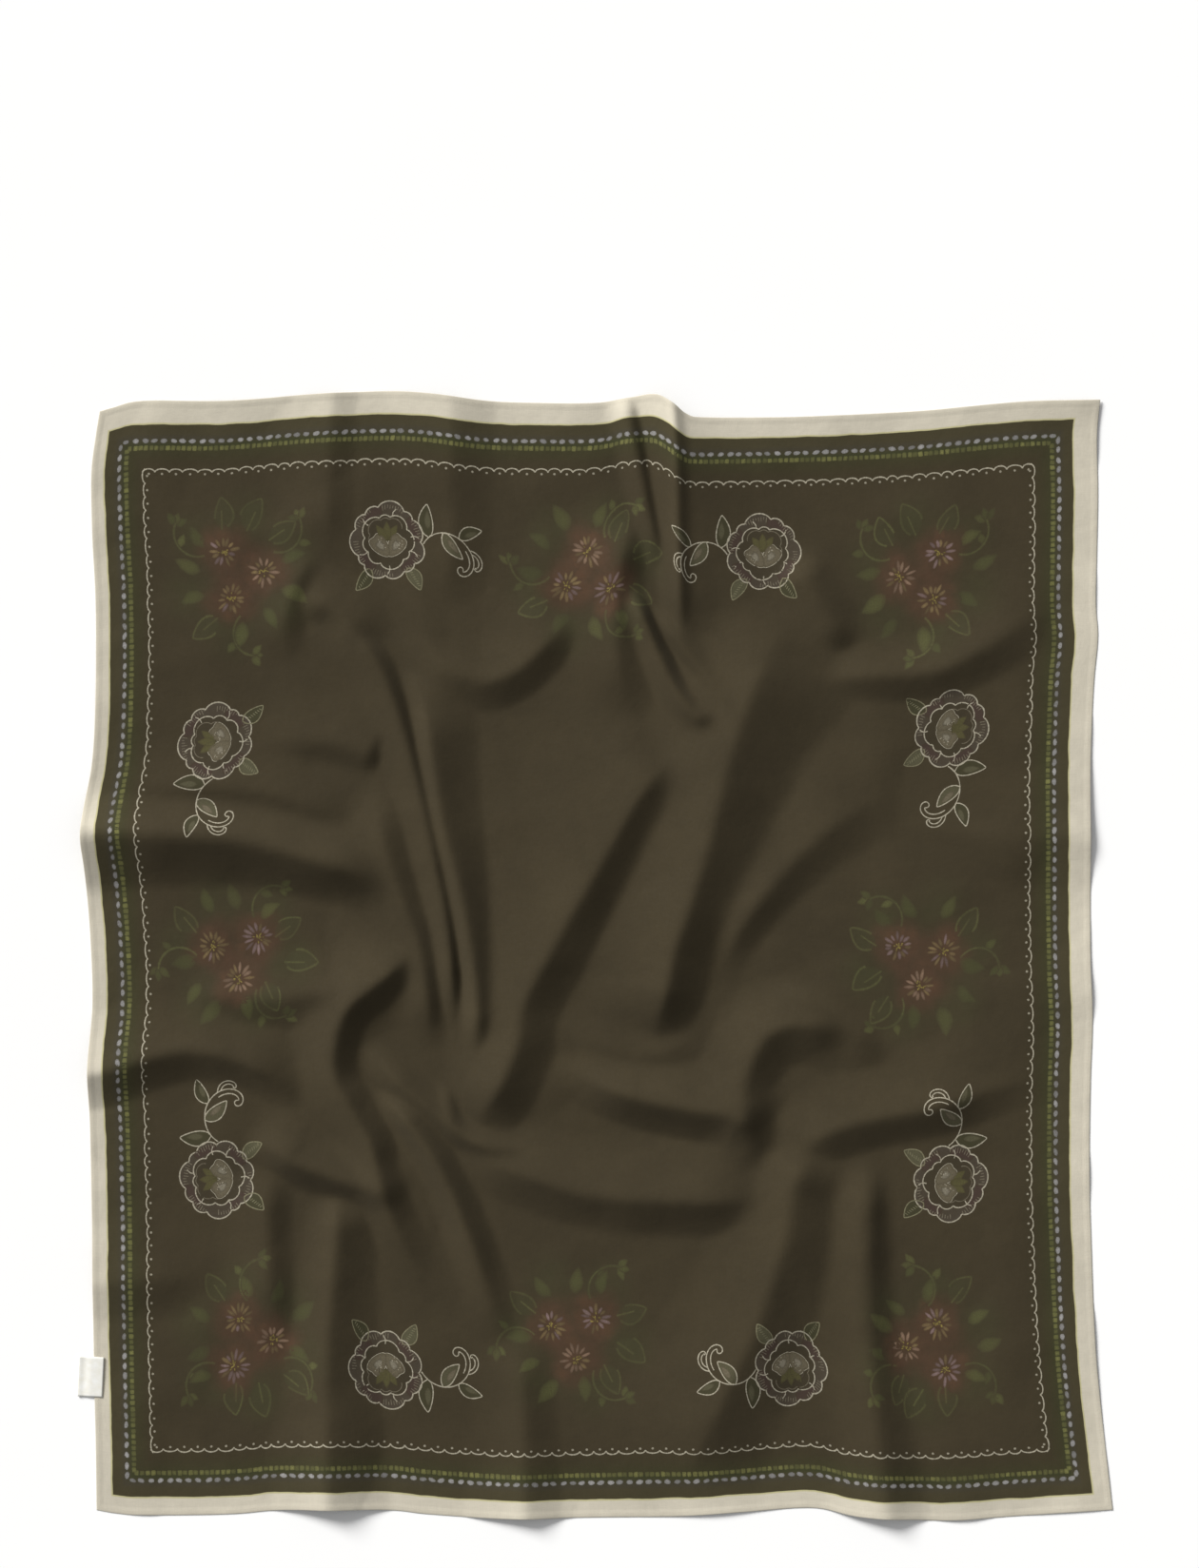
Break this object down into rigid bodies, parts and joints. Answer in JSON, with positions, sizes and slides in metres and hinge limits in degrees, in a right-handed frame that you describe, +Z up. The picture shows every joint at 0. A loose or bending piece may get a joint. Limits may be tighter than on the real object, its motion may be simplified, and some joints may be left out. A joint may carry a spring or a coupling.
{
  "type": "lightweight scarf",
  "caption": "Large thin square scarf spread loosely with soft folds, printed floral field, dashed and scalloped border lines, pale hem, small blank side label.",
  "frame": {"origin": "on the surface, under the middle of the scarf as it lies", "axes": "+Z up from the surface, +Y along the longer side away from the viewer, +X along the shorter side to the right"},
  "size_m": [0.978, 1.0681, 0.0212],
  "materials": {
    "printed_cotton": "thin matt olive brown plain weave with printed flowers, small dashes and an off-white border",
    "woven_tape": "bare off-white woven label, matt"
  },
  "bodies": {
    "root": {"cloth": "printed_cotton", "label": "woven_tape"}
  },
  "joints": []
}
